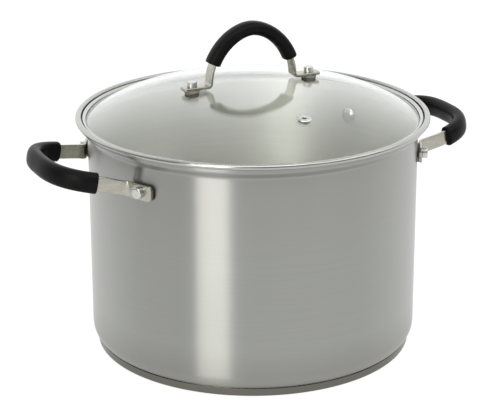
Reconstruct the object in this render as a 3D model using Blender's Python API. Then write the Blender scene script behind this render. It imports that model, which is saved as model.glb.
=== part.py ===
"""Water bath canner: a steel stockpot with a clad base, a glass lid and a wire jar rack.

Metres, +Z up. The origin is the centre of the underside of the base, and the two side
handles and the lid handle lie along X. Every piece is its own object.
"""

import math

import bmesh
import bpy
from mathutils import Matrix, Vector

MM = 0.001
GAP = 0.3 * MM                      # clearance between pieces that touch

# ---- driving dimensions -------------------------------------------------------------
BODY_RADIUS = 166.0 * MM            # outside of the straight wall
WALL = 1.2 * MM
TURNED_STEPS = 48                   # facets round the pot, the lid and the base
SMALL_STEPS = 12                    # facets round rivets, screws and nuts

CAP_RADIUS = 160.9 * MM             # steel cap under the base
CAP_HEIGHT = 8.3 * MM
CAP_SHEET = 0.8 * MM
FLOOR_UNDERSIDE = 7.4 * MM          # outside of the pot's floor
CORNER_RUN = 9.9 * MM               # elliptical corner from floor to wall
CORNER_RISE = 14.6 * MM

FLARE_START = 222.0 * MM            # where the straight wall begins to open
SEAT_RADIUS = 172.0 * MM            # upright wall round the lid
LIP_RADIUS = 177.8 * MM
LIP_TOP = 239.8 * MM

BAND_RADIUS = 170.9 * MM            # steel band round the glass
GLASS_RADIUS = 167.3 * MM           # edge of the visible dome
GLASS_EDGE_RADIUS = 169.6 * MM
GLASS_EDGE_HEIGHT = 235.5 * MM
DOME_RISE = 33.0 * MM
GLASS = 4.0 * MM

HANDLE_HEIGHT = 199.0 * MM          # middle of the side handles' feet
HANDLE_ROOT = 157.0 * MM            # X where a loop leaves its feet
LOOP_DEPTH = 68.2 * MM
LOOP_HALF_WIDTH = 62.0 * MM
LOOP_POWER = 2.9                    # squareness of the loop
LOOP_TILT = math.radians(11.5)      # loops rise outwards
# how far the legs sit above or below level, at -Y and at +Y before the left's half turn
LEG_LIFTS = {"right": (-0.5 * MM, -1.4 * MM), "left": (-1.2 * MM, 2.0 * MM)}
STRAP_THICKNESS = 3.0 * MM
STRAP_WIDTH = 14.2 * MM
FOOT_WIDTH = 15.6 * MM
PAD_THICKNESS = 1.4 * MM
RIVET_ANGLE = math.radians(27.3)    # either side of the X axis
FOOT_END_ANGLE = math.radians(32.0)
FOOT_BEND_ANGLE = math.radians(23.2)
SIDE_GRIP_HALF_HEIGHT = 10.1 * MM
SIDE_GRIP_HALF_DEPTH = 7.1 * MM
SIDE_GRIP_START = 31.0 * MM         # distance out from the root to the sleeve's end
RIGHT_FRONT_GRIP_START = 33.5 * MM  # one end sits further out in the photograph

ARCH_HALF_WIDTH = 46.2 * MM
ARCH_BASE = 274.6 * MM
ARCH_RISE = 49.9 * MM
ARCH_POWER = 1.82
LID_STRAP_WIDTH = 14.0 * MM
LID_FOOT_TOP = 272.3 * MM
LID_FOOT_END = 75.2 * MM
LID_SCREW_X = 64.8 * MM
LID_GRIP_HALF_WIDTH = 9.0 * MM
LID_GRIP_HALF_DEPTH = 7.0 * MM
LID_GRIP_LEFT_BOTTOM = 291.0 * MM
LID_GRIP_RIGHT_BOTTOM = 289.0 * MM
GLASS_SHARES = (0.0, 0.22, 0.37, 0.48, 0.6, 0.72, 0.83, 0.92, 1.0)
LID_HANDLE_CENTRE = Vector((-0.4 * MM, 2.9 * MM, 0))
LID_HANDLE_TURN = math.radians(2.05)

VENT_PLACE = Vector((5.5 * MM, -107.5 * MM))

RACK_RADIUS = 150.0 * MM
RACK_INNER_RADIUS = 78.0 * MM
RACK_RING_HEIGHT = 22.0 * MM
RING_WIRE = 2.0 * MM                # wire radii
SLAT_WIRE = 1.5 * MM
BAIL_WIRE = 1.6 * MM
SLAT_PITCH = 38.0 * MM
SLAT_COUNT = 7
PIVOT_X = 118.0 * MM
PIVOT_HALF_LENGTH = 80.0 * MM
BAIL_HALF_WIDTH = 57.0 * MM
BAIL_REACH = 105.0 * MM

# ---- heights worked out from them ---------------------------------------------------
FLOOR_TOP = FLOOR_UNDERSIDE + WALL
STRAP_MIDDLE_RADIUS = BODY_RADIUS + GAP + PAD_THICKNESS + GAP + STRAP_THICKNESS / 2
PAD_MIDDLE_RADIUS = BODY_RADIUS + GAP + PAD_THICKNESS / 2
LID_FOOT_MIDDLE = LID_FOOT_TOP - STRAP_THICKNESS / 2
SLAT_HEIGHT = RACK_RING_HEIGHT + RING_WIRE + GAP + SLAT_WIRE
PIVOT_HEIGHT = SLAT_HEIGHT + SLAT_WIRE + GAP + RING_WIRE
HOOK_RADIUS = RING_WIRE + 0.4 * MM + BAIL_WIRE
BAIL_REST_HEIGHT = SLAT_HEIGHT + SLAT_WIRE + GAP + BAIL_WIRE


# ---- materials ----------------------------------------------------------------------
def make_material(name, colour, roughness, metallic):
    material = bpy.data.materials.new(name)
    material.use_nodes = True
    shader = material.node_tree.nodes["Principled BSDF"]
    shader.inputs["Base Color"].default_value = (*colour, 1.0)
    shader.inputs["Roughness"].default_value = roughness
    shader.inputs["Metallic"].default_value = metallic
    material.diffuse_color = (*colour, 1.0)
    return material


def make_materials():
    return {
        "brushed": make_material("brushed_steel", (0.60, 0.60, 0.57), 0.32, 1.0),
        "polished": make_material("polished_steel", (0.78, 0.78, 0.76), 0.12, 1.0),
        "strap": make_material("strap_steel", (0.66, 0.63, 0.56), 0.22, 1.0),
        "aluminium": make_material("core_aluminium", (0.72, 0.72, 0.73), 0.45, 1.0),
        "silicone": make_material("black_silicone", (0.02, 0.02, 0.02), 0.55, 0.0),
        "pad": make_material("dark_pad", (0.05, 0.045, 0.04), 0.7, 0.0),
        "glass": make_material("lid_glass", (0.80, 0.82, 0.82), 0.03, 0.0),
        "wire": make_material("chromed_wire", (0.75, 0.75, 0.76), 0.15, 1.0),
    }


# ---- mesh tools ---------------------------------------------------------------------
def finish_mesh(name, mesh_builder, material, crease_degrees=35.0):
    """Turn a bmesh into a named object with its faces pointing out."""
    bmesh.ops.recalc_face_normals(mesh_builder, faces=mesh_builder.faces)
    mesh = bpy.data.meshes.new(name)
    mesh_builder.to_mesh(mesh)
    mesh_builder.free()
    mesh.shade_smooth()
    mesh.set_sharp_from_angle(angle=math.radians(crease_degrees))
    mesh.materials.append(material)
    piece = bpy.data.objects.new(name, mesh)
    bpy.context.collection.objects.link(piece)
    return piece


def join_rings(mesh_builder, first, second):
    """Bridge two rings of vertices; a ring of one vertex is a point on the axis."""
    count = max(len(first), len(second))
    for index in range(count):
        following = (index + 1) % count
        corners = [first[index % len(first)], first[following % len(first)]]
        corners += [second[following % len(second)], second[index % len(second)]]
        distinct = []
        for corner in corners:
            if corner not in distinct:
                distinct.append(corner)
        mesh_builder.faces.new(distinct)


def turn(name, outline, material, steps=TURNED_STEPS, closed=False):
    """Turn an outline of (radius, height) points about Z.

    An open outline starts and ends on the axis. A closed one is a ring's section.
    """
    mesh_builder = bmesh.new()
    rings = []
    for radius, height in outline:
        if radius == 0:
            rings.append([mesh_builder.verts.new((0, 0, height))])
            continue
        ring = []
        for step in range(steps):
            angle = 2 * math.pi * step / steps
            place = (radius * math.cos(angle), radius * math.sin(angle), height)
            ring.append(mesh_builder.verts.new(place))
        rings.append(ring)
    for first, second in zip(rings, rings[1:]):
        join_rings(mesh_builder, first, second)
    if closed:
        join_rings(mesh_builder, rings[-1], rings[0])
    return finish_mesh(name, mesh_builder, material)


def section_frames(path, width_hints):
    """A frame at each path point: its place, its depth axis and its width axis."""
    frames = []
    last = len(path) - 1
    for index, place in enumerate(path):
        tangent = (path[min(index + 1, last)] - path[max(index - 1, 0)]).normalized()
        depth_axis = tangent.cross(width_hints[index]).normalized()
        frames.append((place, depth_axis, depth_axis.cross(tangent)))
    return frames


def section_ring(mesh_builder, frame, outline):
    place, depth_axis, width_axis = frame
    ring = []
    for depth, width in outline:
        ring.append(mesh_builder.verts.new(place + depth_axis * depth + width_axis * width))
    return ring


def sweep(name, frames, outlines, material):
    """A solid bar with one outline for each frame and flat ends."""
    mesh_builder = bmesh.new()
    rings = []
    for frame, outline in zip(frames, outlines):
        rings.append(section_ring(mesh_builder, frame, outline))
    for first, second in zip(rings, rings[1:]):
        join_rings(mesh_builder, first, second)
    mesh_builder.faces.new(rings[0])
    mesh_builder.faces.new(rings[-1])
    return finish_mesh(name, mesh_builder, material)


def sweep_sleeve(name, frames, outer_outlines, inner_outlines, material):
    """A sleeve: an outer and an inner skin joined at both ends."""
    mesh_builder = bmesh.new()
    outer = []
    inner = []
    for frame, outside, inside in zip(frames, outer_outlines, inner_outlines):
        outer.append(section_ring(mesh_builder, frame, outside))
        inner.append(section_ring(mesh_builder, frame, inside))
    loop = outer + inner[::-1]
    for first, second in zip(loop, loop[1:] + loop[:1]):
        join_rings(mesh_builder, first, second)
    return finish_mesh(name, mesh_builder, material)


def drill(piece, places, axes, radius, reach):
    """Cut round holes: one cutter object holds a bar at each place, along its axis."""
    mesh_builder = bmesh.new()
    for place, axis in zip(places, axes):
        turned = axis.to_track_quat("Z", "Y").to_matrix().to_4x4()
        bmesh.ops.create_cone(
            mesh_builder,
            cap_ends=True,
            segments=SMALL_STEPS,
            radius1=radius,
            radius2=radius,
            depth=2 * reach,
            matrix=Matrix.Translation(place) @ turned,
        )
    cutter = finish_mesh(piece.name + "_drill", mesh_builder, piece.data.materials[0])
    cutter.hide_render = True
    cutter.display_type = "WIRE"
    cut = piece.modifiers.new("holes", "BOOLEAN")
    cut.object = cutter
    cut.operation = "DIFFERENCE"
    cut.solver = "EXACT"


def place_along(piece, origin, axis):
    """Stand a piece that was turned about Z on another axis."""
    piece.rotation_mode = "QUATERNION"
    piece.rotation_quaternion = axis.to_track_quat("Z", "Y")
    piece.location = origin


def cut_corner_rectangle(half_depth, half_width, corner):
    """Eight points of a flat bar's section, with its four corners cut."""
    return [
        (half_depth, half_width - corner),
        (half_depth - corner, half_width),
        (corner - half_depth, half_width),
        (-half_depth, half_width - corner),
        (-half_depth, corner - half_width),
        (corner - half_depth, -half_width),
        (half_depth - corner, -half_width),
        (half_depth, corner - half_width),
    ]


def oval(half_depth, half_width, points=8):
    """A rounded outline whose points match cut_corner_rectangle's order."""
    outline = []
    for index in range(points):
        angle = math.pi / 4 - math.pi / 8 + index * 2 * math.pi / points
        across = math.copysign(abs(math.cos(angle)) ** 0.85, math.cos(angle))
        along = math.copysign(abs(math.sin(angle)) ** 0.85, math.sin(angle))
        outline.append((half_depth * across, half_width * along))
    return outline


def circle_outline(radius, points=6):
    outline = []
    for index in range(points):
        angle = 2 * math.pi * index / points
        outline.append((radius * math.cos(angle), radius * math.sin(angle)))
    return outline


def round_corner(start, corner, end, steps):
    """Points on a quadratic curve from start to end that is pulled to the corner."""
    points = []
    for step in range(1, steps):
        t = step / steps
        points.append(start * (1 - t) ** 2 + corner * 2 * t * (1 - t) + end * t * t)
    return points


def superellipse(half_width, rise, power, steps):
    """Half a superellipse from one side, over the top, to the other: (across, up)."""
    points = []
    for step in range(steps + 1):
        angle = math.pi * step / steps
        across = math.copysign(abs(math.cos(angle)) ** (2 / power), math.cos(angle))
        points.append((half_width * across, rise * abs(math.sin(angle)) ** (2 / power)))
    return points


# ---- pot ----------------------------------------------------------------------------
def quarter_ellipse(centre_radius, centre_height, run, rise, steps):
    """From the bottom of a rounded corner up to where the wall is upright."""
    points = []
    for step in range(steps + 1):
        angle = math.pi / 2 * step / steps
        radius = centre_radius + run * math.sin(angle)
        points.append((radius, centre_height - rise * math.cos(angle)))
    return points


def make_pot_body(material):
    corner_radius = BODY_RADIUS - CORNER_RUN
    corner_height = FLOOR_UNDERSIDE + CORNER_RISE
    inside = BODY_RADIUS - WALL
    outer_corner = quarter_ellipse(corner_radius, corner_height, CORNER_RUN, CORNER_RISE, 4)
    inner_corner = quarter_ellipse(
        corner_radius, corner_height, CORNER_RUN - WALL, CORNER_RISE - WALL, 4
    )
    outer_flare = [
        (BODY_RADIUS, FLARE_START),
        (BODY_RADIUS + 1.5 * MM, FLARE_START + 3.2 * MM),
        (SEAT_RADIUS + 0.2 * MM, FLARE_START + 6.9 * MM),
        (SEAT_RADIUS + WALL, FLARE_START + 9.0 * MM),
        (SEAT_RADIUS + WALL, LIP_TOP - 5.8 * MM),
    ]
    lip = [
        (LIP_RADIUS - 1.0 * MM, LIP_TOP - 5.0 * MM),
        (LIP_RADIUS, LIP_TOP - 3.2 * MM),
        (LIP_RADIUS - 0.5 * MM, LIP_TOP - 1.2 * MM),
        (LIP_RADIUS - 2.2 * MM, LIP_TOP),
        (SEAT_RADIUS + 1.3 * MM, LIP_TOP - 0.3 * MM),
        (SEAT_RADIUS, LIP_TOP - 1.7 * MM),
    ]
    inner_flare = [
        (SEAT_RADIUS, FLARE_START + 9.4 * MM),
        (SEAT_RADIUS - 0.6 * MM, FLARE_START + 7.9 * MM),
        (inside + 1.6 * MM, FLARE_START + 4.0 * MM),
        (inside, FLARE_START + 0.6 * MM),
    ]
    outline = [(0, FLOOR_UNDERSIDE)] + outer_corner + outer_flare + lip + inner_flare
    outline += inner_corner[::-1] + [(0, FLOOR_TOP)]
    body = turn("pot_body", outline, material)
    places = []
    axes = []
    for outward in rivet_directions():
        places.append(outward * BODY_RADIUS + Vector((0, 0, HANDLE_HEIGHT)))
        axes.append(outward)
    drill(body, places, axes, 2.95 * MM, 8 * MM)
    return body


def make_base(materials):
    inside = CAP_RADIUS - CAP_SHEET
    cap = [
        (0, 0),
        (CAP_RADIUS - 2.4 * MM, 0),
        (CAP_RADIUS - 0.7 * MM, 0.7 * MM),
        (CAP_RADIUS, 2.4 * MM),
        (CAP_RADIUS, CAP_HEIGHT),
        (inside, CAP_HEIGHT),
        (inside, 2.7 * MM),
        (CAP_RADIUS - 2.7 * MM, CAP_SHEET),
        (0, CAP_SHEET),
    ]
    turn("base_cap", cap, materials["polished"])
    core_edge = inside - 0.4 * MM
    core = [
        (0, CAP_SHEET + GAP),
        (core_edge - 2.2 * MM, CAP_SHEET + GAP),
        (core_edge, 3.3 * MM),
        (core_edge, 6.2 * MM),
        (core_edge - 1.2 * MM, FLOOR_UNDERSIDE - 0.4 * MM),
        (0, FLOOR_UNDERSIDE - 0.4 * MM),
    ]
    turn("base_core", core, materials["aluminium"])


# ---- side handles -------------------------------------------------------------------
def rivet_directions():
    """Outward directions of the four rivets: right front, right rear, left rear, left front."""
    directions = []
    for angle in (-RIVET_ANGLE, RIVET_ANGLE, math.pi - RIVET_ANGLE, math.pi + RIVET_ANGLE):
        directions.append(Vector((math.cos(angle), math.sin(angle), 0)))
    return directions


def loop_points(steps):
    """The side loop's centre line for the handle at +X, from -Y to +Y, as (out, place)."""
    points = []
    for across, out in superellipse(LOOP_HALF_WIDTH, LOOP_DEPTH, LOOP_POWER, steps):
        x = HANDLE_ROOT + out * math.cos(LOOP_TILT)
        z = HANDLE_HEIGHT + out * math.sin(LOOP_TILT)
        points.append((out, Vector((x, -across, z))))
    return points


def lifted(place, side):
    """One place on a loop, raised by its leg's own lift: the handles aren't quite level."""
    out = (place.x - HANDLE_ROOT) / math.cos(LOOP_TILT)
    ease = min(1.0, max(0.0, (out - 7 * MM) / (18 * MM)))
    share = min(1.0, max(0.0, 0.5 + 0.5 * place.y / LOOP_HALF_WIDTH))
    first, second = LEG_LIFTS[side]
    return place + Vector((0, 0, ease * (first + (second - first) * share)))


def on_wall(angle, radius):
    return Vector((radius * math.cos(angle), radius * math.sin(angle), HANDLE_HEIGHT))


def strap_half_path():
    """From the tip of the front foot to the middle of the loop: (place, turn, half width).

    turn runs from 0, where the bar stands upright on the wall, to 1 in the tilted loop.
    """
    half_foot = FOOT_WIDTH / 2
    stations = []
    foot_stations = ((0.0, 0.62), (0.06, 0.88), (0.18, 1.0), (0.45, 1.0), (0.75, 1.0), (1.0, 0.93))
    for share, width_share in foot_stations:
        angle = FOOT_END_ANGLE + (FOOT_BEND_ANGLE - FOOT_END_ANGLE) * share
        stations.append((on_wall(-angle, STRAP_MIDDLE_RADIUS), 0.0, half_foot * width_share))
    loop = loop_points(22)
    leg = [(out, place) for out, place in loop[: len(loop) // 2 + 1] if out > 7 * MM]
    corner = Vector((HANDLE_ROOT + 0.8 * MM, -LOOP_HALF_WIDTH, HANDLE_HEIGHT))
    bend = round_corner(stations[-1][0], corner, leg[0][1], 4)
    for index, place in enumerate(bend):
        stations.append((place, (index + 1) / 5, STRAP_WIDTH / 2 + 0.4 * MM))
    for out, place in leg:
        stations.append((place, 1.0, STRAP_WIDTH / 2))
    return stations


def mirrored(stations):
    """A half path followed by its mirror image across the XZ plane."""
    other_half = []
    for place, turn_share, half_width in stations[-2::-1]:
        other_half.append((Vector((place.x, -place.y, place.z)), turn_share, half_width))
    return stations + other_half


def loop_width_hint(turn_share):
    upright = Vector((0, 0, 1))
    tilted = Vector((-math.sin(LOOP_TILT), 0, math.cos(LOOP_TILT)))
    return upright.lerp(tilted, turn_share)


def make_side_strap(side, material):
    stations = mirrored(strap_half_path())
    hints = [loop_width_hint(station[1]) for station in stations]
    frames = section_frames([lifted(station[0], side) for station in stations], hints)
    outlines = []
    for station in stations:
        outlines.append(cut_corner_rectangle(STRAP_THICKNESS / 2, station[2], 0.7 * MM))
    return sweep(side + "_handle_strap", frames, outlines, material)


def make_side_grip(side, front_start, material):
    path = []
    for out, place in loop_points(22):
        if out > (front_start if place.y < 0 else SIDE_GRIP_START):
            path.append(lifted(place, side))
    frames = section_frames(path, [loop_width_hint(1.0)] * len(path))
    outer = []
    inner = []
    slot = cut_corner_rectangle(STRAP_THICKNESS / 2 + GAP, STRAP_WIDTH / 2 + GAP, 0.6 * MM)
    for index in range(len(path)):
        end = index in (0, len(path) - 1)
        shrink = 1.2 * MM if end else 0.0
        outer.append(oval(SIDE_GRIP_HALF_DEPTH - shrink, SIDE_GRIP_HALF_HEIGHT - shrink))
        inner.append(slot)
    return sweep_sleeve(side + "_handle_grip", frames, outer, inner, material)


def make_handle_pad(name, material, sign_y):
    """The heat pad between one foot and the wall."""
    path = []
    outlines = []
    for share, width_share in ((0.0, 0.6), (0.12, 0.93), (0.55, 0.93), (1.0, 0.85)):
        angle = FOOT_END_ANGLE + (FOOT_BEND_ANGLE - FOOT_END_ANGLE) * share
        path.append(on_wall(sign_y * angle, PAD_MIDDLE_RADIUS))
        half_width = FOOT_WIDTH / 2 * width_share
        outlines.append(cut_corner_rectangle(PAD_THICKNESS / 2, half_width, 0.3 * MM))
    frames = section_frames(path, [Vector((0, 0, 1))] * len(path))
    return sweep(name, frames, outlines, material)


def make_rivet(name, outward, material):
    """Head outside the strap, shank through the wall, dome inside: turned about its axis."""
    head_base = STRAP_MIDDLE_RADIUS + STRAP_THICKNESS / 2 + GAP
    head_top = head_base + 5.0 * MM
    dome_base = BODY_RADIUS - WALL - 0.9 * MM
    outline = [
        (0, head_top),
        (4.5 * MM, head_top),
        (5.2 * MM, head_top - 0.7 * MM),
        (5.2 * MM, head_base),
        (2.5 * MM, head_base),
        (2.5 * MM, dome_base),
        (8.5 * MM, dome_base),
        (7.2 * MM, dome_base - 1.6 * MM),
        (4.0 * MM, dome_base - 2.8 * MM),
        (0, dome_base - 3.2 * MM),
    ]
    rivet = turn(name, outline, material, SMALL_STEPS)
    place_along(rivet, Vector((0, 0, HANDLE_HEIGHT)), outward)
    return rivet


def make_side_handle(side, half_turn, materials):
    strap = make_side_strap(side, materials["strap"])
    front_start = SIDE_GRIP_START if half_turn else RIGHT_FRONT_GRIP_START
    grip = make_side_grip(side, front_start, materials["silicone"])
    right_front, right_rear = rivet_directions()[:2]
    level = Vector((0, 0, HANDLE_HEIGHT))
    places = [outward * STRAP_MIDDLE_RADIUS + level for outward in (right_front, right_rear)]
    drill(strap, places, [right_front, right_rear], 2.95 * MM, 5 * MM)
    pieces = [strap, grip]
    fore_and_aft = ("rear", "front") if half_turn else ("front", "rear")
    for end, sign_y, outward in zip(fore_and_aft, (-1, 1), (right_front, right_rear)):
        pad = make_handle_pad(f"{side}_{end}_handle_pad", materials["pad"], sign_y)
        drill(pad, [outward * PAD_MIDDLE_RADIUS + level], [outward], 2.95 * MM, 3 * MM)
        pieces.append(pad)
    if half_turn:
        cutters = [piece.modifiers["holes"].object for piece in pieces if piece.modifiers]
        for piece in pieces + cutters:
            piece.rotation_euler = (0, 0, math.pi)


# ---- lid ----------------------------------------------------------------------------
def dome_height(radius):
    """Height of the glass's outer surface."""
    return GLASS_EDGE_HEIGHT + DOME_RISE * (1 - (radius / GLASS_RADIUS) ** 3)


def dome_normal(place):
    radius = place.length
    slope = 3 * DOME_RISE * radius**2 / GLASS_RADIUS**3
    return Vector((place.x / radius * slope, place.y / radius * slope, 1)).normalized()


def glass_height(radius):
    """Height of the glass's outer skin, which runs straight from one ring to the next."""
    share = radius / GLASS_RADIUS
    for low, high in zip(GLASS_SHARES, GLASS_SHARES[1:]):
        if share <= high:
            start, end = dome_height(low * GLASS_RADIUS), dome_height(high * GLASS_RADIUS)
            return start + (end - start) * (share - low) / (high - low)
    return dome_height(GLASS_RADIUS)


def on_lid(place):
    """From the lid handle's own frame, where it runs along X, to its place on the lid."""
    return Matrix.Rotation(LID_HANDLE_TURN, 3, "Z") @ place + LID_HANDLE_CENTRE


def lid_handle_across():
    return Matrix.Rotation(LID_HANDLE_TURN, 3, "Z") @ Vector((0, 1, 0))


def make_lid_glass(material):
    radii = [GLASS_RADIUS * share for share in GLASS_SHARES]
    outer = [(radius, dome_height(radius)) for radius in radii]
    edge = [
        (GLASS_EDGE_RADIUS - 0.6 * MM, GLASS_EDGE_HEIGHT),
        (GLASS_EDGE_RADIUS, GLASS_EDGE_HEIGHT - 0.7 * MM),
        (GLASS_EDGE_RADIUS, GLASS_EDGE_HEIGHT - GLASS),
        (GLASS_RADIUS - 1.0 * MM, GLASS_EDGE_HEIGHT - GLASS),
    ]
    inner = [(radius, dome_height(radius) - GLASS) for radius in radii[-2::-1]]
    glass = turn("lid_glass", outer + edge + inner, material)
    vent = VENT_PLACE.to_3d()
    vent.z = dome_height(VENT_PLACE.length)
    screw_height = dome_height(LID_SCREW_X)
    places = [
        on_lid(Vector((-LID_SCREW_X, 0, screw_height))),
        on_lid(Vector((LID_SCREW_X, 0, screw_height))),
        vent,
    ]
    upright = Vector((0, 0, 1))
    drill(glass, places, [upright, upright, dome_normal(VENT_PLACE)], 4.0 * MM, 9 * MM)
    return glass


def make_lid_band(material):
    top = GLASS_EDGE_HEIGHT + GAP
    bottom = GLASS_EDGE_HEIGHT - GLASS - GAP
    wall_inside = BAND_RADIUS - 0.9 * MM
    outline = [
        (GLASS_RADIUS + 0.1 * MM, top),
        (GLASS_RADIUS + 0.2 * MM, top + 0.8 * MM),
        (GLASS_RADIUS + 1.9 * MM, top + 2.1 * MM),
        (BAND_RADIUS - 0.6 * MM, top + 2.1 * MM),
        (BAND_RADIUS, top + 1.4 * MM),
        (BAND_RADIUS, bottom - 0.2 * MM),
        (BAND_RADIUS - 0.6 * MM, bottom - 0.8 * MM),
        (GLASS_RADIUS - 0.7 * MM, bottom - 0.8 * MM),
        (GLASS_RADIUS - 0.7 * MM, bottom),
        (wall_inside, bottom),
        (wall_inside, top),
    ]
    return turn("lid_rim_band", outline, material, closed=True)


def arch_points(steps):
    points = []
    for across, up in superellipse(ARCH_HALF_WIDTH, ARCH_RISE, ARCH_POWER, steps):
        points.append(Vector((-across, 0, ARCH_BASE + up)))
    return points


def lid_strap_half_path():
    """From the tip of the left foot up to the top of the arch, as (place, half width)."""
    half_width = LID_STRAP_WIDTH / 2
    stations = []
    for inset, width_share in ((0, 0.8), (0.5, 0.93), (1.6, 1.0), (12.5, 1.0), (24, 1.0)):
        x = LID_FOOT_END - inset * MM
        stations.append((Vector((-x, 0, LID_FOOT_MIDDLE)), half_width * width_share))
    arch = [place for place in arch_points(22)[:12] if place.z > ARCH_BASE + 3 * MM]
    corner = Vector((-ARCH_HALF_WIDTH - 0.6 * MM, 0, LID_FOOT_MIDDLE))
    for place in round_corner(stations[-1][0], corner, arch[0], 5):
        stations.append((place, half_width))
    for place in arch:
        stations.append((place, half_width))
    return stations


def make_lid_strap(material):
    half = lid_strap_half_path()
    other_half = []
    for place, half_width in half[-2::-1]:
        other_half.append((Vector((-place.x, 0, place.z)), half_width))
    stations = half + other_half
    path = [on_lid(station[0]) for station in stations]
    frames = section_frames(path, [lid_handle_across()] * len(path))
    outlines = []
    for station in stations:
        outlines.append(cut_corner_rectangle(STRAP_THICKNESS / 2, station[1], 0.7 * MM))
    strap = sweep("lid_handle_strap", frames, outlines, material)
    places = [on_lid(Vector((sign * LID_SCREW_X, 0, LID_FOOT_MIDDLE))) for sign in (-1, 1)]
    drill(strap, places, [Vector((0, 0, 1))] * 2, 2.4 * MM, 4 * MM)
    return strap


def make_lid_grip(material):
    path = []
    for place in arch_points(22):
        if place.z > (LID_GRIP_LEFT_BOTTOM if place.x < 0 else LID_GRIP_RIGHT_BOTTOM):
            path.append(on_lid(place))
    frames = section_frames(path, [lid_handle_across()] * len(path))
    slot = cut_corner_rectangle(STRAP_THICKNESS / 2 + GAP, LID_STRAP_WIDTH / 2 + GAP, 0.6 * MM)
    outer = []
    for index in range(len(path)):
        end = index in (0, len(path) - 1)
        shrink = 1.1 * MM if end else 0.0
        outer.append(oval(LID_GRIP_HALF_DEPTH - shrink, LID_GRIP_HALF_WIDTH - shrink))
    return sweep_sleeve("lid_handle_grip", frames, outer, [slot] * len(path), material)


def slanted_disc(name, centre, radius, top_of, bottom_of, material):
    """A washer whose faces follow heights given as functions of the distance from the axis."""
    hole_radius = 2.4 * MM
    mesh_builder = bmesh.new()
    rings = []
    sections = ((hole_radius, bottom_of), (radius, bottom_of), (radius, top_of), (hole_radius, top_of))
    for ring_radius, height_of in sections:
        ring = []
        for step in range(SMALL_STEPS):
            angle = 2 * math.pi * step / SMALL_STEPS
            place_x = centre.x + ring_radius * math.cos(angle)
            place_y = centre.y + ring_radius * math.sin(angle)
            height = height_of(math.hypot(place_x, place_y))
            ring.append(mesh_builder.verts.new((place_x, place_y, height)))
        rings.append(ring)
    for first, second in zip(rings, rings[1:] + rings[:1]):
        join_rings(mesh_builder, first, second)
    return finish_mesh(name, mesh_builder, material)


def make_lid_fixings(side, x, materials):
    """Cap nut, spacer, washer and screw at one foot of the lid handle."""
    nut_base = LID_FOOT_TOP + GAP
    nut_top = nut_base + 5.2 * MM
    centre = on_lid(Vector((x, 0, 0)))
    nut = [
        (0, nut_top),
        (4.5 * MM, nut_top),
        (5.0 * MM, nut_top - 0.5 * MM),
        (5.0 * MM, nut_base),
        (2.4 * MM, nut_base),
        (2.4 * MM, nut_top - 1.2 * MM),
        (0, nut_top - 1.2 * MM),
    ]
    cap_nut = turn(f"lid_{side}_nut", nut, materials["polished"], SMALL_STEPS)
    cap_nut.location = centre
    spacer_top = LID_FOOT_TOP - STRAP_THICKNESS - GAP
    spacer = slanted_disc(
        f"lid_{side}_spacer",
        centre,
        7.5 * MM,
        lambda radius: spacer_top,
        lambda radius: glass_height(radius) + GAP,
        materials["silicone"],
    )
    washer_bottom = glass_height(centre.length) - GLASS - 2.2 * MM
    washer = slanted_disc(
        f"lid_{side}_washer",
        centre,
        7.0 * MM,
        lambda radius: glass_height(radius) - GLASS - GAP,
        lambda radius: washer_bottom,
        materials["pad"],
    )
    head_top = washer_bottom - GAP
    screw = [
        (0, nut_top - 2.0 * MM),
        (2.0 * MM, nut_top - 2.0 * MM),
        (2.0 * MM, head_top),
        (5.4 * MM, head_top),
        (4.9 * MM, head_top - 1.5 * MM),
        (2.8 * MM, head_top - 2.5 * MM),
        (0, head_top - 2.7 * MM),
    ]
    lid_screw = turn(f"lid_{side}_screw", screw, materials["polished"], SMALL_STEPS)
    lid_screw.location = centre
    return [cap_nut, spacer, washer, lid_screw]


def make_vent(material):
    """A steel eyelet rolled over both faces of the glass."""
    outline = [
        (2.1 * MM, 1.0 * MM),
        (3.0 * MM, 1.7 * MM),
        (6.4 * MM, 1.5 * MM),
        (7.2 * MM, 0.9 * MM),
        (7.0 * MM, GAP),
        (3.5 * MM, GAP),
        (3.5 * MM, -4.4 * MM),
        (5.6 * MM, -4.4 * MM),
        (5.4 * MM, -5.3 * MM),
        (2.1 * MM, -5.3 * MM),
    ]
    vent = turn("vent_eyelet", outline, material, SMALL_STEPS, closed=True)
    place = VENT_PLACE.to_3d()
    place.z = dome_height(VENT_PLACE.length)
    place_along(vent, place, dome_normal(VENT_PLACE))
    return vent


# ---- jar rack -----------------------------------------------------------------------
def make_wire(name, path, width_hint, radius, material, points=6):
    frames = section_frames(path, [width_hint] * len(path))
    return sweep(name, frames, [circle_outline(radius, points)] * len(path), material)


def make_ring(name, radius, material):
    section = []
    for across, up in circle_outline(RING_WIRE):
        section.append((radius + across, RACK_RING_HEIGHT + up))
    return turn(name, section, material, 36, closed=True)


def make_rack_foot(name, angle, material):
    """A U of wire welded under the outer ring, standing on the pot's floor."""
    middle = Vector((RACK_RADIUS * math.cos(angle), RACK_RADIUS * math.sin(angle), 0))
    along = Vector((-math.sin(angle), math.cos(angle), 0))
    outward = Vector((math.cos(angle), math.sin(angle), 0))
    top = RACK_RING_HEIGHT - RING_WIRE - GAP - SLAT_WIRE
    bottom = FLOOR_TOP + GAP + SLAT_WIRE
    path = []
    for step in range(9):
        swing = math.pi * step / 8
        height = top - (top - bottom) * math.sin(swing)
        path.append(middle + along * (-12 * MM * math.cos(swing)) + Vector((0, 0, height)))
    return make_wire(name, path, outward, SLAT_WIRE, material)


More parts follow.
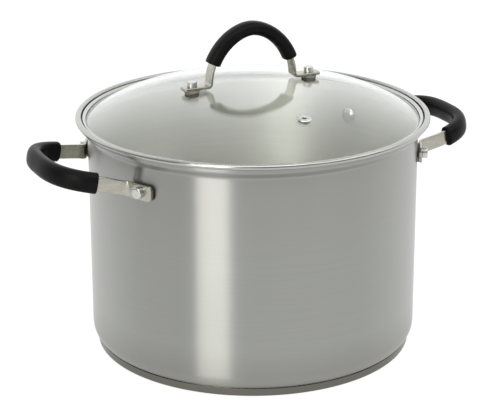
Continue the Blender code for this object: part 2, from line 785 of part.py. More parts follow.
def make_bail(name, sign, material):
    """A lifting handle: hooks round its pivot rod at both ends, folded towards the middle.

    Modelled with the pivot at its origin, for the rod at +X; sign -1 turns it half round.
    """
    half = []
    for step in range(9):
        angle = math.radians(-165 + 255 * step / 8)
        x = HOOK_RADIUS * math.cos(angle)
        half.append(Vector((x, -BAIL_HALF_WIDTH, HOOK_RADIUS * math.sin(angle))))
    end_height = BAIL_REST_HEIGHT - PIVOT_HEIGHT
    bend = 14 * MM
    leg_end = Vector((-BAIL_REACH + bend, -BAIL_HALF_WIDTH, end_height))
    corner = Vector((-BAIL_REACH, -BAIL_HALF_WIDTH, end_height))
    cross_start = Vector((-BAIL_REACH, -BAIL_HALF_WIDTH + bend, end_height))
    half.append(Vector((-10 * MM, -BAIL_HALF_WIDTH, HOOK_RADIUS - 0.3 * MM)))
    half.append(leg_end)
    half += round_corner(leg_end, corner, cross_start, 4)
    half.append(cross_start)
    path = half + [Vector((place.x, -place.y, place.z)) for place in half[::-1]]
    # The hooks lie in XZ planes and the cross piece along Y, so the frame follows the path.
    frames = []
    last = len(path) - 1
    side = Vector((0, 1, 0))
    for index, place in enumerate(path):
        tangent = (path[min(index + 1, last)] - path[max(index - 1, 0)]).normalized()
        side = (side - tangent * side.dot(tangent)).normalized()
        frames.append((place, side, tangent.cross(side)))
    bail = sweep(name, frames, [circle_outline(BAIL_WIRE)] * len(path), material)
    bail.location = (sign * PIVOT_X, 0, PIVOT_HEIGHT)
    if sign < 0:
        bail.rotation_euler = (0, 0, math.pi)
    return bail


def make_rack(material):
    pieces = [
        make_ring("rack_outer_ring", RACK_RADIUS, material),
        make_ring("rack_inner_ring", RACK_INNER_RADIUS, material),
    ]
    for index in range(SLAT_COUNT):
        y = (index - (SLAT_COUNT - 1) / 2) * SLAT_PITCH
        half_length = math.sqrt((RACK_RADIUS + RING_WIRE) ** 2 - y * y)
        ends = [Vector((-half_length, y, SLAT_HEIGHT)), Vector((half_length, y, SLAT_HEIGHT))]
        slat_name = f"rack_slat_{index + 1}"
        pieces.append(make_wire(slat_name, ends, Vector((0, 1, 0)), SLAT_WIRE, material))
    for index in range(4):
        angle = math.pi / 4 + index * math.pi / 2
        pieces.append(make_rack_foot(f"rack_foot_{index + 1}", angle, material))
    for side, sign in (("left", -1), ("right", 1)):
        ends = []
        for end_sign in (-1, 1):
            ends.append(Vector((sign * PIVOT_X, end_sign * PIVOT_HALF_LENGTH, PIVOT_HEIGHT)))
        pivot_name = f"rack_{side}_pivot"
        pieces.append(make_wire(pivot_name, ends, Vector((1, 0, 0)), RING_WIRE, material, 8))
        pieces.append(make_bail(f"rack_{side}_bail", sign, material))
    return pieces


# ---- the whole canner ---------------------------------------------------------------
def clear_scene():
    for piece in list(bpy.data.objects):
        bpy.data.objects.remove(piece, do_unlink=True)


def carry_on_axis(name, height, pieces):
    """Hang pieces on an empty that stands on the upright axis they lift along."""
    carrier = bpy.data.objects.new(name, None)
    carrier.location.z = height
    bpy.context.collection.objects.link(carrier)
    for piece in pieces:
        piece.parent = carrier
        piece.matrix_parent_inverse = Matrix.Translation((0, 0, -height))


def make_lid(materials):
    pieces = [
        make_lid_glass(materials["glass"]),
        make_lid_band(materials["polished"]),
        make_lid_strap(materials["strap"]),
        make_lid_grip(materials["silicone"]),
        make_vent(materials["polished"]),
    ]
    for side, x in (("left", -LID_SCREW_X), ("right", LID_SCREW_X)):
        pieces += make_lid_fixings(side, x, materials)
    return pieces


def main():
    clear_scene()
    materials = make_materials()
    make_pot_body(materials["brushed"])
    make_base(materials)
    make_side_handle("right", False, materials)
    make_side_handle("left", True, materials)
    rivet_names = ("right_front_rivet", "right_rear_rivet", "left_rear_rivet", "left_front_rivet")
    for name, outward in zip(rivet_names, rivet_directions()):
        make_rivet(name, outward, materials["polished"])
    carry_on_axis("lid_carrier", GLASS_EDGE_HEIGHT, make_lid(materials))
    carry_on_axis("rack_carrier", RACK_RING_HEIGHT, make_rack(materials["wire"]))


main()
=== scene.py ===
"""Water bath canner: fine surfaces, materials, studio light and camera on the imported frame.

Every visible piece is turned or swept here at a finer grain than its CAD node, from the same
dimensions. Metres, +Z up, in the frame's own coordinates.
"""

import math

import bmesh
import bpy
from mathutils import Matrix, Vector


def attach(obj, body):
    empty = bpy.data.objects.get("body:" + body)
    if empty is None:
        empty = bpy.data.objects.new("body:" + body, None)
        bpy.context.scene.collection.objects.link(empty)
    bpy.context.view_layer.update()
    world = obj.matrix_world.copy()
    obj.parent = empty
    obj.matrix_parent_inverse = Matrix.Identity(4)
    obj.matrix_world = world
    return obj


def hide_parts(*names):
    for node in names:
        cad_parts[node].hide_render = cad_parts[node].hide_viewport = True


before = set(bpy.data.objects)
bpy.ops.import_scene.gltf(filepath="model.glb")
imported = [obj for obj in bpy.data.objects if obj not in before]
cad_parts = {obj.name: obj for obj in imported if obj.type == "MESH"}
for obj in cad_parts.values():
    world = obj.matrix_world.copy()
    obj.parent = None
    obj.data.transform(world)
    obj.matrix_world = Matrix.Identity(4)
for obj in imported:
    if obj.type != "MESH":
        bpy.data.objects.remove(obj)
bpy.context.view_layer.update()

MM = 0.001
GAP = 0.3 * MM

# ---- dimensions, as in the CAD ----
BODY_RADIUS = 166.0 * MM
WALL = 1.2 * MM
CAP_RADIUS = 160.9 * MM
CAP_HEIGHT = 8.3 * MM
CAP_SHEET = 0.8 * MM
FLOOR_UNDERSIDE = 7.4 * MM
CORNER_RUN = 9.9 * MM
CORNER_RISE = 14.6 * MM
FLARE_START = 222.0 * MM
SEAT_RADIUS = 172.0 * MM
LIP_RADIUS = 177.8 * MM
LIP_TOP = 239.8 * MM

BAND_RADIUS = 170.9 * MM
GLASS_RADIUS = 167.3 * MM
GLASS_EDGE_RADIUS = 169.6 * MM
GLASS_EDGE_HEIGHT = 235.5 * MM
DOME_RISE = 33.0 * MM
GLASS = 4.0 * MM

HANDLE_HEIGHT = 199.0 * MM
HANDLE_ROOT = 157.0 * MM
LOOP_DEPTH = 68.2 * MM
LOOP_HALF_WIDTH = 62.0 * MM
LOOP_POWER = 2.9
LOOP_TILT = math.radians(11.5)
# how far the legs sit above or below level, at -Y and at +Y before the left's half turn
LEG_LIFTS = {"right": (-0.5 * MM, -1.4 * MM), "left": (-1.2 * MM, 2.0 * MM)}
STRAP_THICKNESS = 3.0 * MM
STRAP_WIDTH = 14.3 * MM
FOOT_WIDTH = 15.6 * MM
PAD_THICKNESS = 1.4 * MM
RIVET_ANGLE = math.radians(27.3)
FOOT_END_ANGLE = math.radians(32.0)
FOOT_BEND_ANGLE = math.radians(23.2)
SIDE_GRIP = (7.1 * MM, 10.1 * MM, 2.6)  # half depth, half width, superellipse power
SIDE_GRIP_START = 30.4 * MM
RIGHT_FRONT_GRIP_START = 33.5 * MM
STRAP_EDGE = 0.85 * MM  # rounding of a strap's long edges
SLEEVE_LIP = 1.6 * MM  # rounding of a sleeve's ends
SLEEVE_PLAY = 0.15 * MM
SEAM = 0.02 * MM  # left between pieces that touch

ARCH_HALF_WIDTH = 46.2 * MM
ARCH_BASE = 274.6 * MM
ARCH_RISE = 49.9 * MM
ARCH_POWER = 1.82
LID_STRAP_WIDTH = 14.0 * MM
LID_FOOT_TOP = 272.3 * MM
LID_FOOT_START = 49.8 * MM
LID_FOOT_END = 75.0 * MM
LID_SCREW_X = 64.8 * MM
LID_GRIP = (7.0 * MM, 9.0 * MM, 2.5)
LID_GRIP_LEFT_BOTTOM = 292.2 * MM
LID_GRIP_RIGHT_BOTTOM = 290.2 * MM
LID_HANDLE_CENTRE = Vector((-0.4 * MM, 2.9 * MM, 0))
LID_HANDLE_TURN = math.radians(2.05)

VENT_PLACE = Vector((5.5 * MM, -107.5 * MM))

RACK_RADIUS = 150.0 * MM
RACK_INNER_RADIUS = 78.0 * MM
RACK_RING_HEIGHT = 22.0 * MM
RING_WIRE = 2.0 * MM
SLAT_WIRE = 1.5 * MM
BAIL_WIRE = 1.6 * MM
SLAT_PITCH = 38.0 * MM
SLAT_COUNT = 7
PIVOT_X = 118.0 * MM
PIVOT_HALF_LENGTH = 80.0 * MM
BAIL_HALF_WIDTH = 57.0 * MM
BAIL_REACH = 105.0 * MM

FLOOR_TOP = FLOOR_UNDERSIDE + WALL
STRAP_MIDDLE_RADIUS = BODY_RADIUS + GAP + PAD_THICKNESS + GAP + STRAP_THICKNESS / 2
PAD_MIDDLE_RADIUS = BODY_RADIUS + GAP + PAD_THICKNESS / 2
LID_FOOT_MIDDLE = LID_FOOT_TOP - STRAP_THICKNESS / 2
SLAT_HEIGHT = RACK_RING_HEIGHT + RING_WIRE + GAP + SLAT_WIRE
PIVOT_HEIGHT = SLAT_HEIGHT + SLAT_WIRE + GAP + RING_WIRE
HOOK_RADIUS = RING_WIRE + 0.4 * MM + BAIL_WIRE
BAIL_REST_HEIGHT = SLAT_HEIGHT + SLAT_WIRE + GAP + BAIL_WIRE
UP = Vector((0, 0, 1))

# ---- light ----
BACKDROP_LIGHT = 1.3
# turn towards the backdrop, share of its light
ROOM_STOPS = ((-1.0, 0.24), (-0.75, 0.24), (-0.6, 0.1), (-0.15, 0.1), (0.1, 0.4), (0.5, 1.0))
CEILING_SHARE = 0.8
FLOOR_GLOW = 0.91
FLOOR_TONE = 0.15
TOP_PLACE = (-0.36, -0.82, 2.2)
TOP_SIZE = (2.0, 1.6)
TOP_POWER = 24.0
STRIP_HEADING = -140.3  # degrees from +X
STRIP_DISTANCE = 5.0
STRIP_HEIGHT = 2.05
STRIP_SIZE = (1.95, 4.0)
STRIP_POWER = 136.0
STRIP_COLOUR = (1.0, 0.985, 0.94)
SIDE_SOFTBOXES = (  # side, heading, width, power
    ("right", -38.0, 3.4, 30.0),
    ("left", 156.0, 3.2, 10.0),
)
SIDE_DISTANCE = 1.9
SIDE_HEIGHT = 2.15
SIDE_DEPTH = 2.4
SOFT_EDGE = (0.5, 0.65, 0.8, 0.95, 1.1)  # nested lamps, so that the edge fades out
SOFT_EDGE_STEP = 0.02
TOWARD_BACKDROP = (0.4021, 0.9156, 0)

# ---- camera, fitted to the photo's outline ----
CAMERA_PLACE = (-0.7049, -1.5833, 0.7489)
CAMERA_TURNS = ((-23.718, "Z"), (70.58, "X"), (-0.161, "Z"))

# ---- fineness ----
WIDE_STEPS = 256
TURNED_STEPS = 192
HOOP_STEPS = 128
SMALL_STEPS = 48
CURVE_STEPS = 900


# ---- material tools ----
def add_node(tree, kind, inputs, **settings):
    """A shader node; each input takes a value or another node's output."""
    node = tree.nodes.new(kind)
    for key, value in settings.items():
        setattr(node, key, value)
    for socket, value in inputs.items():
        if isinstance(value, bpy.types.NodeSocket):
            tree.links.new(value, node.inputs[socket])
        else:
            node.inputs[socket].default_value = value
    return node


class Shader:
    """A node material under construction: a Principled shader and short ways to feed it."""

    def __init__(self, name, colour, roughness, metallic=0.0, **sockets):
        self.material = bpy.data.materials.new(name)
        self.material.use_nodes = True
        self.tree = self.material.node_tree
        self.bsdf = self.tree.nodes["Principled BSDF"]
        sockets.update(Base_Color=(*colour, 1), Roughness=roughness, Metallic=metallic)
        for socket, value in sockets.items():
            self.bsdf.inputs[socket.replace("_", " ")].default_value = value
        self.place = self.node("ShaderNodeTexCoord").outputs["Object"]
        self.height = None

    def node(self, kind, inputs=None, **settings):
        return add_node(self.tree, kind, inputs or {}, **settings)

    def feed(self, socket, value):
        self.tree.links.new(value, self.bsdf.inputs[socket])

    def noise(self, scale, detail=3.0, stretch=(1, 1, 1), roughness=0.55):
        """Noise in object space; stretch multiplies the coordinates before the texture."""
        mapping = self.node("ShaderNodeMapping", {"Scale": stretch, "Vector": self.place})
        inputs = {"Scale": scale, "Detail": detail, "Roughness": roughness}
        inputs["Vector"] = mapping.outputs["Vector"]
        return self.node("ShaderNodeTexNoise", inputs).outputs["Fac"]

    def spread(self, value, low, high, from_low=0.3, from_high=0.7):
        """Rescale a 0..1 texture to low..high."""
        inputs = {"From Min": from_low, "From Max": from_high, "To Min": low, "To Max": high}
        inputs["Value"] = value
        return self.node("ShaderNodeMapRange", inputs).outputs["Result"]

    def rise(self, start, end):
        """0..1 as the height goes from start to end."""
        axes = self.node("ShaderNodeSeparateXYZ", {"Vector": self.place})
        return self.spread(axes.outputs["Z"], 0.0, 1.0, start, end)

    def blend(self, factor, *colours):
        """Mix two colours, each a tuple or a node's output: sockets 6 and 7, into output 2."""
        first, second = ((*c, 1) if isinstance(c, tuple) else c for c in colours)
        inputs = {"Factor": factor, 6: first, 7: second}
        return self.node("ShaderNodeMix", inputs, data_type="RGBA").outputs[2]

    def tint(self, texture, first, second):
        """Colour that wanders between two tones with a texture."""
        self.feed("Base Color", self.blend(self.spread(texture, 0, 1), first, second))

    def add_height(self, value, depth):
        """Stack one more bump layer whose full swing is depth metres."""
        inputs = {"Distance": depth, "Strength": 1.0, "Height": value}
        if self.height is not None:
            inputs["Normal"] = self.height
        self.height = self.node("ShaderNodeBump", inputs).outputs["Normal"]
        self.feed("Normal", self.height)

    def brushed_round(self, strength):
        """Stretch reflections as brushing round the upright axis does."""
        tangent = self.node("ShaderNodeTangent", direction_type="RADIAL", axis="Z")
        self.feed("Tangent", tangent.outputs["Tangent"])
        self.bsdf.inputs["Anisotropic"].default_value = strength
        self.bsdf.inputs["Anisotropic Rotation"].default_value = 0.25

    def finished(self, texture, low, high, *reliefs):
        """Roughness that follows a texture, and bump layers given as (texture, depth)."""
        self.feed("Roughness", self.spread(texture, low, high))
        for relief, depth in reliefs:
            self.add_height(relief, depth)
        return self.material


def brushed_wall():
    """Outer wall: satin steel brushed round, with painted shade darkening it below the lip and
    towards the base.
    """
    shader = Shader("wall_brushed", (0.36, 0.36, 0.34), 0.30, 1.0)
    streaks = shader.noise(1.0, 4.0, (9, 9, 900), 0.6)
    fine = shader.noise(1.0, 2.0, (30, 30, 5200), 0.7)
    clouds = shader.noise(9.0, 3.0)
    dark, light = (0.354, 0.358, 0.337), (0.374, 0.378, 0.356)
    tone = shader.blend(shader.spread(streaks, 0, 1), dark, light)
    tone = shader.blend(shader.spread(clouds, 0, 0.35), tone, (0.338, 0.350, 0.337))
    # painted shade: the wall's colour darkens just below the lip, where the lip shades it
    tone = shader.blend(shader.rise(0.225, 0.14), (0.345, 0.345, 0.33), tone)
    # painted shade: the wall's colour darkens towards the base, standing in for the shadowed
    # floor it reflects
    tone = shader.blend(shader.rise(0.012, 0.05), (0.29, 0.29, 0.27), tone)
    shader.feed("Base Color", tone)
    shader.brushed_round(1.0)
    return shader.finished(streaks, 0.285, 0.315, (fine, 0.00002))


def satin_inside():
    """Inside of the pot: satin steel with turned rings."""
    shader = Shader("inside_satin", (0.81, 0.805, 0.735), 0.6, 1.0)
    rings = shader.noise(1.0, 3.0, (8, 8, 600), 0.6)
    patches = shader.noise(14.0, 4.0)
    shader.tint(rings, (0.79, 0.785, 0.715), (0.835, 0.83, 0.757))
    shader.brushed_round(0.95)
    return shader.finished(patches, 0.57, 0.63, (rings, 0.00003))


def polished(name, colour, roughness):
    """Bright steel with a haze of hairline polishing marks."""
    shader = Shader(name, colour, roughness, 1.0)
    marks = shader.noise(1.0, 4.0, (60, 60, 900), 0.65)
    haze = shader.noise(120.0, 3.0)
    shader.tint(haze, tuple(0.96 * channel for channel in colour), colour)
    return shader.finished(haze, 0.9 * roughness, 1.12 * roughness, (marks, 0.000004))


def strap_steel():
    """Handle straps: pressed steel bar, polished, slightly warm, with long drawing lines."""
    shader = Shader("strap_polished", (0.44, 0.43, 0.37), 0.24, 1.0)
    lines = shader.noise(1.0, 4.0, (60, 400, 400), 0.6)
    haze = shader.noise(160.0, 3.0)
    tone = shader.blend(shader.spread(haze, 0, 1), (0.40, 0.39, 0.335), (0.47, 0.46, 0.395))
    tone = shader.blend(shader.spread(lines, 0, 0.6), tone, (0.33, 0.32, 0.27))
    shader.feed("Base Color", tone)
    return shader.finished(haze, 0.2, 0.29, (lines, 0.00002))


def black_silicone():
    """Handle sleeves: moulded silicone, satin, with a fine spark-eroded grain."""
    shader = Shader("silicone_black", (0.006, 0.006, 0.0062), 0.34, Specular_IOR_Level=0.06)
    grain = shader.noise(2600.0, 2.0)
    pores = shader.noise(700.0, 3.0)
    smudge = shader.noise(45.0, 3.0)
    shader.tint(smudge, (0.005, 0.005, 0.0053), (0.0085, 0.0082, 0.008))
    return shader.finished(smudge, 0.31, 0.40, (pores, 0.00004), (grain, 0.00002))


def dark_pad(name, colour):
    """Heat pads, spacers and washers: matt moulded rubber."""
    shader = Shader(name, colour, 0.6)
    grain = shader.noise(1500.0, 3.0)
    shader.tint(grain, colour, tuple(1.6 * channel for channel in colour))
    return shader.finished(grain, 0.52, 0.7, (grain, 0.00005))


def bright_wire():
    """Rack wire: chromed, with soft ripples left by drawing."""
    shader = Shader("wire_chromed", (0.70, 0.70, 0.71), 0.12, 1.0)
    ripples = shader.noise(260.0, 3.0)
    shader.tint(ripples, (0.66, 0.66, 0.67), (0.74, 0.74, 0.75))
    return shader.finished(ripples, 0.08, 0.2, (ripples, 0.00003))


def core_aluminium():
    """The disc inside the base: rolled aluminium."""
    shader = Shader("core_rolled", (0.72, 0.72, 0.73), 0.4, 1.0)
    rolled = shader.noise(1.0, 3.0, (30, 700, 30))
    return shader.finished(rolled, 0.33, 0.48, (rolled, 0.00003))


def clear_glass():
    """Tempered glass; lamps shine through it so that the inside is lit."""
    shader = Shader("glass_tempered", (0.97, 0.985, 0.98), 0.0, IOR=1.5, Transmission_Weight=1.0)
    shader.add_height(shader.noise(7.0, 1.0), 0.00015)
    passing = shader.node("ShaderNodeBsdfTransparent", {"Color": (0.88, 0.9, 0.89, 1)})
    shadow_ray = shader.node("ShaderNodeLightPath").outputs["Is Shadow Ray"]
    surfaces = {"Fac": shadow_ray, 1: shader.bsdf.outputs["BSDF"], 2: passing.outputs["BSDF"]}
    mix = shader.node("ShaderNodeMixShader", surfaces)
    output = shader.tree.nodes["Material Output"]
    shader.tree.links.new(mix.outputs["Shader"], output.inputs["Surface"])
    return shader.material


# ---- outline tools ----
def on_circle(angle, radius, height=0.0):
    return Vector((radius * math.cos(angle), radius * math.sin(angle), height))


def superellipse(angle, power):
    """A point of the unit superellipse: a circle at power 2, squarer above it."""
    parts = (math.cos(angle), math.sin(angle))
    return tuple(math.copysign(abs(part) ** (2 / power), part) for part in parts)


def cut_in(corner, from_tip):
    """How far a rounded corner has drawn in an edge at this distance from the tip."""
    return corner - math.sqrt(max(0.0, corner**2 - (corner - min(corner, from_tip)) ** 2))


def eased(share):
    return share * share * (3 - 2 * share)


def rounded(corners, steps=5, closed=False):
    """Round the corners of a polyline. A corner is (a, b) or (a, b, radius)."""
    points = []
    count = len(corners)
    for index, corner in enumerate(corners):
        here = Vector(corner[:2])
        radius = corner[2] if len(corner) > 2 else 0.0
        at_end = index in (0, count - 1) and not closed
        if radius == 0 or at_end:
            points.append((here.x, here.y))
            continue
        before = Vector(corners[index - 1][:2]) - here
        after = Vector(corners[(index + 1) % count][:2]) - here
        half_angle = before.angle(after) / 2
        run = radius / math.tan(half_angle)
        run = min(run, 0.495 * before.length, 0.495 * after.length)
        radius = run * math.tan(half_angle)
        middle = (before.normalized() + after.normalized()).normalized()
        centre = here + middle * (radius / math.sin(half_angle))
        start = here + before.normalized() * run - centre
        end = here + after.normalized() * run - centre
        swing = -start.angle_signed(end)
        for step in range(steps + 1):
            turn_by = swing * step / steps
            cosine, sine = math.cos(turn_by), math.sin(turn_by)
            x = centre.x + start.x * cosine - start.y * sine
            y = centre.y + start.x * sine + start.y * cosine
            points.append((x, y))
    return points


def in_mm(base, *corners):
    """Corners given in millimetres, as (radius, height over the base, rounding)."""
    return [(r * MM, base + height * MM, *(x * MM for x in rest)) for r, height, *rest in corners]


def braced(outline, margin=0.7 * MM, closed=False):
    """Add a point near both ends of each long run, so that smooth shading stays flat on it."""
    points = []
    following = outline[1:] + (outline[:1] if closed else [])
    for first, second in zip(outline, following):
        points.append(first)
        start, end = Vector(first), Vector(second)
        length = (end - start).length
        if length > 4 * margin:
            step = (end - start) * (margin / length)
            points.append(tuple(start + step))
            points.append(tuple(end - step))
    if not closed:
        points.append(outline[-1])
    return points


def quarter_ellipse(centre_radius, centre_height, run, rise, steps):
    """From straight below the centre round to its outer side."""
    points = []
    for step in range(steps + 1):
        angle = math.pi / 2 * step / steps
        radius = centre_radius + run * math.sin(angle)
        points.append((radius, centre_height - rise * math.cos(angle)))
    return points


def s_curve(start, end, steps):
    """From start to end, upright at both ends, easing across between them."""
    points = []
    for step in range(steps + 1):
        t = step / steps
        radius = start[0] + (end[0] - start[0]) * eased(t)
        points.append((radius, start[1] + (end[1] - start[1]) * t))
    return points


def running_lengths(points):
    lengths = [0.0]
    for first, second in zip(points, points[1:]):
        lengths.append(lengths[-1] + (second - first).length)
    return lengths


def points_at(points, lengths, targets):
    """Places at the target distances along a polyline with those running lengths."""
    made = []
    segment = 0
    for target in targets:
        while segment < len(points) - 2 and lengths[segment + 1] < target:
            segment += 1
        share = (target - lengths[segment]) / (lengths[segment + 1] - lengths[segment])
        made.append(points[segment].lerp(points[segment + 1], min(1.0, share)))
    return made


def resample(points, count):
    """Points evenly spaced along a polyline."""
    lengths = running_lengths(points)
    return points_at(points, lengths, [lengths[-1] * step / (count - 1) for step in range(count)])


def tightened_ends(path):
    """Crowd points into the first and last stretch, where a sleeve's ends curl in."""
    lengths = running_lengths(path)
    total = lengths[-1]
    start = [SLEEVE_LIP * (1 - math.cos(math.pi / 2 * step / 7)) for step in range(7)]
    middle = [length for length in lengths if SLEEVE_LIP <= length <= total - SLEEVE_LIP]
    return points_at(path, lengths, start + middle + [total - length for length in start[::-1]])


def rounded_bar(half_depth, half_width, corner, steps=4):
    """A flat bar's section, as (depth, width) points."""
    points = []
    centres = ((1, 1, 0), (-1, 1, 90), (-1, -1, 180), (1, -1, 270))
    for side_depth, side_width, first in centres:
        for step in range(steps + 1):
            angle = math.radians(first + 90 * step / steps)
            depth = side_depth * (half_depth - corner) + corner * math.cos(angle)
            width = side_width * (half_width - corner) + corner * math.sin(angle)
            points.append((depth, width))
    return points


def superoval(half_depth, half_width, power, points):
    unit = [superellipse(2 * math.pi * index / points, power) for index in range(points)]
    return [(half_depth * depth, half_width * width) for depth, width in unit]


# ---- mesh tools ----
def add_object(name, data):
    made = bpy.data.objects.new(name, data)
    bpy.context.collection.objects.link(made)
    return made


def finish_mesh(name, bm, materials, sharp_degrees=None):
    bmesh.ops.recalc_face_normals(bm, faces=bm.faces)
    mesh = bpy.data.meshes.new(name)
    bm.to_mesh(mesh)
    bm.free()
    mesh.shade_smooth()
    if sharp_degrees:
        mesh.set_sharp_from_angle(angle=math.radians(sharp_degrees))
    for material in materials:
        mesh.materials.append(material)
    return add_object(name, mesh)


def join_rings(bm, first, second, material_index=0):
    """Faces between two rings; a ring of one point makes triangles."""
    count = max(len(first), len(second))
    for index in range(count):
        following = (index + 1) % count
        corners = [first[index % len(first)], first[following % len(first)]]
        corners += [second[following % len(second)], second[index % len(second)]]
        distinct = list(dict.fromkeys(corners))
        bm.faces.new(distinct).material_index = material_index


def standing(place, axis):
    """The transform that stands a piece built on Z at a place, along an axis."""
    return Matrix.Translation(place) @ axis.to_track_quat("Z", "Y").to_matrix().to_4x4()


def joined_round(name, bm, rings, material, sharp_degrees):
    """Close the rings into a skin that comes back to its first ring."""
    for first, second in zip(rings, rings[1:] + rings[:1]):
        join_rings(bm, first, second)
    return finish_mesh(name, bm, [material], sharp_degrees)


def turned(name, outline, materials, steps=TURNED_STEPS, closed=False, finish_of=None, at=None):
    """Turn (radius, height) points about Z, or about the axis that at = (place, axis) gives."""
    bm = bmesh.new()
    rings = []
    for radius, height in outline:
        if radius < 1e-7:
            rings.append([bm.verts.new((0, 0, height))])
            continue
        places = [on_circle(2 * math.pi * step / steps, radius, height) for step in range(steps)]
        rings.append([bm.verts.new(place) for place in places])
    for index in range(len(rings) if closed else len(rings) - 1):
        following = (index + 1) % len(rings)
        finish = finish_of(outline[index], outline[following]) if finish_of else 0
        join_rings(bm, rings[index], rings[following], finish)
    if at:
        bmesh.ops.transform(bm, matrix=standing(*at), verts=bm.verts)
    return finish_mesh(name, bm, materials)


def tangents(path):
    spans = zip(path[:1] + path[:-1], path[1:] + path[-1:])
    return [(after - before).normalized() for before, after in spans]


def section_frames(path, width_hints):
    """(place, depth axis, width axis) along a path, the width along the hints."""
    frames = []
    for place, tangent, hint in zip(path, tangents(path), width_hints):
        depth_axis = tangent.cross(hint).normalized()
        frames.append((place, depth_axis, depth_axis.cross(tangent)))
    return frames


def following_frames(path, side):
    """Frames that turn with the path, starting from a side direction."""
    frames = []
    for place, tangent in zip(path, tangents(path)):
        side = (side - tangent * side.dot(tangent)).normalized()
        frames.append((place, side, tangent.cross(side)))
    return frames


def section_ring(bm, frame_at, outline, along=0.0):
    place, depth_axis, width_axis = frame_at
    place = place + depth_axis.cross(width_axis) * along
    places = [place + depth_axis * depth + width_axis * width for depth, width in outline]
    return [bm.verts.new(place) for place in places]


def swept(name, frames, outlines, material, dome=0.0):
    """A solid bar. With dome, each end bulges by that much, as the tip of a wire does."""
    bm = bmesh.new()
    rings = []
    if dome:
        rings += end_rings(bm, frames[0], outlines[0], -dome)
    rings += [section_ring(bm, *station) for station in zip(frames, outlines)]
    if dome:
        rings += end_rings(bm, frames[-1], outlines[-1], dome)[::-1]
    for first, second in zip(rings, rings[1:]):
        join_rings(bm, first, second)
    for ring in (rings[0], rings[-1]):
        if len(ring) > 2:
            bm.faces.new(ring)
    return finish_mesh(name, bm, [material], 50)


def wire(name, frames, radius, material, points=12):
    """A round wire with domed tips."""
    outlines = [superoval(radius, radius, 2.0, points)] * len(frames)
    return swept(name, frames, outlines, material, 0.5 * radius)


def strap(name, path, hints, half_widths, material):
    """A flat bar with rounded edges whose width changes along the path."""
    outlines = [rounded_bar(STRAP_THICKNESS / 2, width, STRAP_EDGE) for width in half_widths]
    return swept(name, section_frames(path, hints), outlines, material)


def end_rings(bm, frame_at, outline, bulge):
    """Rings of a rounded end from its point to just short of the full section."""
    rings = []
    for step in range(4):
        angle = math.pi / 2 * step / 4
        share = math.sin(angle)
        reach = bulge * math.cos(angle)
        scaled = [(depth * share, width * share) for depth, width in outline]
        if step == 0:
            scaled = [(0.0, 0.0)]
        rings.append(section_ring(bm, frame_at, scaled, reach))
    return rings


def sleeve(name, path, hint, half_depth, half_width, power, bar_half_width, material):
    """A moulded sleeve whose ends curl in to the bar: outer skin, end faces, inner skin."""
    bm = bmesh.new()
    outer = []
    inner = []
    slot = (STRAP_THICKNESS / 2 + SLEEVE_PLAY, bar_half_width + SLEEVE_PLAY)
    bar = rounded_bar(*slot, 0.8 * MM, 9)
    start = round(len(bar) / 8)
    lengths = running_lengths(path)
    for length, frame_at in zip(lengths, section_frames(path, [hint] * len(path))):
        curl = cut_in(SLEEVE_LIP, min(length, lengths[-1] - length))
        section = superoval(half_depth - curl, half_width - curl, power, len(bar))
        outer.append(section_ring(bm, frame_at, section[start:] + section[:start]))
        inner.append(section_ring(bm, frame_at, bar[4:] + bar[:4]))
    return joined_round(name, bm, outer + inner[::-1], material, 45)


def punched(piece, holes, radius, reach):
    """Cut round holes, each given as (place, axis), and keep the mesh that results."""
    bm = bmesh.new()
    size = {"radius1": radius, "radius2": radius, "depth": 2 * reach}
    for hole in holes:
        stand = standing(*hole)
        bmesh.ops.create_cone(bm, cap_ends=True, segments=SMALL_STEPS, matrix=stand, **size)
    cutter = finish_mesh("punch", bm, [piece.data.materials[0]])
    cut = piece.modifiers.new("holes", "BOOLEAN")
    cut.object = cutter
    cut.solver = "EXACT"
    bpy.context.view_layer.update()
    seen = piece.evaluated_get(bpy.context.evaluated_depsgraph_get())
    mesh = bpy.data.meshes.new_from_object(seen)
    piece.modifiers.clear()
    piece.data = mesh
    bpy.data.objects.remove(cutter, do_unlink=True)


def place_piece(piece, node, body):
    """The piece stands for its CAD node and moves with its body."""
    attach(piece, body)
    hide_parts(node)


def place_turned(name, corners, material, at, node, body, margin=0.4 * MM, closed=False):
    """A small turned metal piece, from the corners of its outline."""
    outline = braced(rounded(corners, closed=closed), margin, closed)
    piece = turned(name, outline, [material], SMALL_STEPS, closed, at=at)
    place_piece(piece, node, body)


# ---- pot ----
def pot_outline():
    corner_radius = BODY_RADIUS - CORNER_RUN
    corner_height = FLOOR_UNDERSIDE + CORNER_RISE
    inside = BODY_RADIUS - WALL
    outer = [(0, FLOOR_UNDERSIDE), (corner_radius * 0.6, FLOOR_UNDERSIDE)]
    outer += quarter_ellipse(corner_radius, corner_height, CORNER_RUN, CORNER_RISE, 14)
    flare_top = FLARE_START + 9.6 * MM
    outer += s_curve((BODY_RADIUS, FLARE_START), (SEAT_RADIUS + WALL, flare_top), 12)
    lip = [
        (SEAT_RADIUS + WALL, flare_top),
        (SEAT_RADIUS + WALL, LIP_TOP - 5.2 * MM, 0.9 * MM),
        (LIP_RADIUS, LIP_TOP - 5.2 * MM, 2.4 * MM),
        (LIP_RADIUS, LIP_TOP, 2.7 * MM),
        (SEAT_RADIUS, LIP_TOP, 1.9 * MM),
        (SEAT_RADIUS, flare_top),
    ]
    inner = s_curve((inside, FLARE_START), (SEAT_RADIUS, flare_top), 12)[::-1]
    inner_corner = (CORNER_RUN - WALL, CORNER_RISE - WALL)
    inner += quarter_ellipse(corner_radius, corner_height, *inner_corner, 14)[::-1]
    floor = [(corner_radius * 0.6, FLOOR_TOP), (0, FLOOR_TOP)]
    return braced(outer + rounded(lip, 6)[1:-1] + inner + floor, 1.2 * MM)


